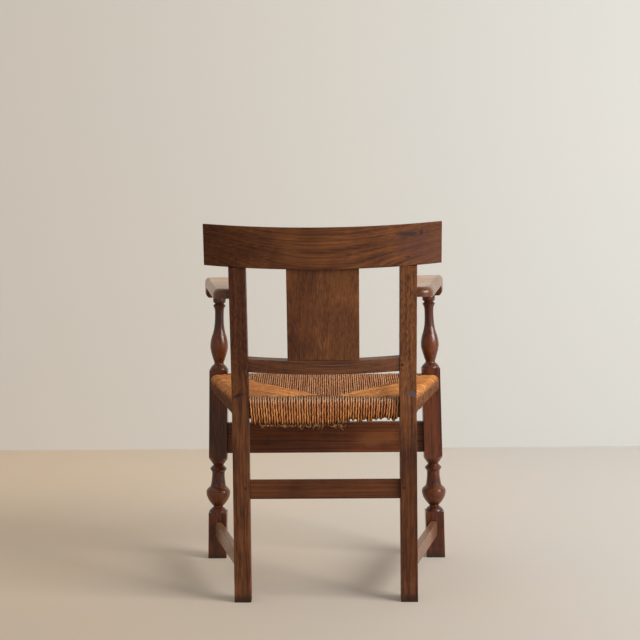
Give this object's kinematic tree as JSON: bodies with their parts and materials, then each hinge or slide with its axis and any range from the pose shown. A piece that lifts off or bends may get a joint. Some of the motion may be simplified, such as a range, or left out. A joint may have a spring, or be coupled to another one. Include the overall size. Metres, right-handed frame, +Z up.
{
  "type": "rush seat armchair",
  "caption": "Dining armchair of dark oak with turned front legs, rolled arms, a bowed crest rail over a flat splat, and a woven rush seat.",
  "frame": {"origin": "on the floor, below the middle of the chair's bounding box", "axes": "+Z up, -Y the way the sitter faces, +X to the sitter's left"},
  "size_m": [0.605, 0.5838, 0.856],
  "materials": {
    "oak": "dark stained oak, waxed",
    "rail_ash": "bare sawn hardwood",
    "rush": "twisted rush, aged",
    "peg_oak": "dark oak end grain"
  },
  "bodies": {
    "root": {"rear_post_left": "oak", "rear_post_right": "oak", "front_leg_left": "oak", "front_leg_right": "oak", "crest_rail": "oak", "lower_back_rail": "oak", "back_splat": "oak", "arm_left": "oak", "arm_right": "oak", "front_apron": "oak", "rear_stretcher": "oak", "side_stretcher_left": "oak", "side_stretcher_right": "oak", "seat_rail_front": "rail_ash", "seat_rail_rear": "rail_ash", "seat_rail_left": "rail_ash", "seat_rail_right": "rail_ash", "rush_front": "rush", "rush_rear": "rush", "rush_left": "rush", "rush_right": "rush", "crest_pegs": "peg_oak", "back_rail_pegs": "peg_oak", "stretcher_pegs": "peg_oak"}
  },
  "joints": []
}
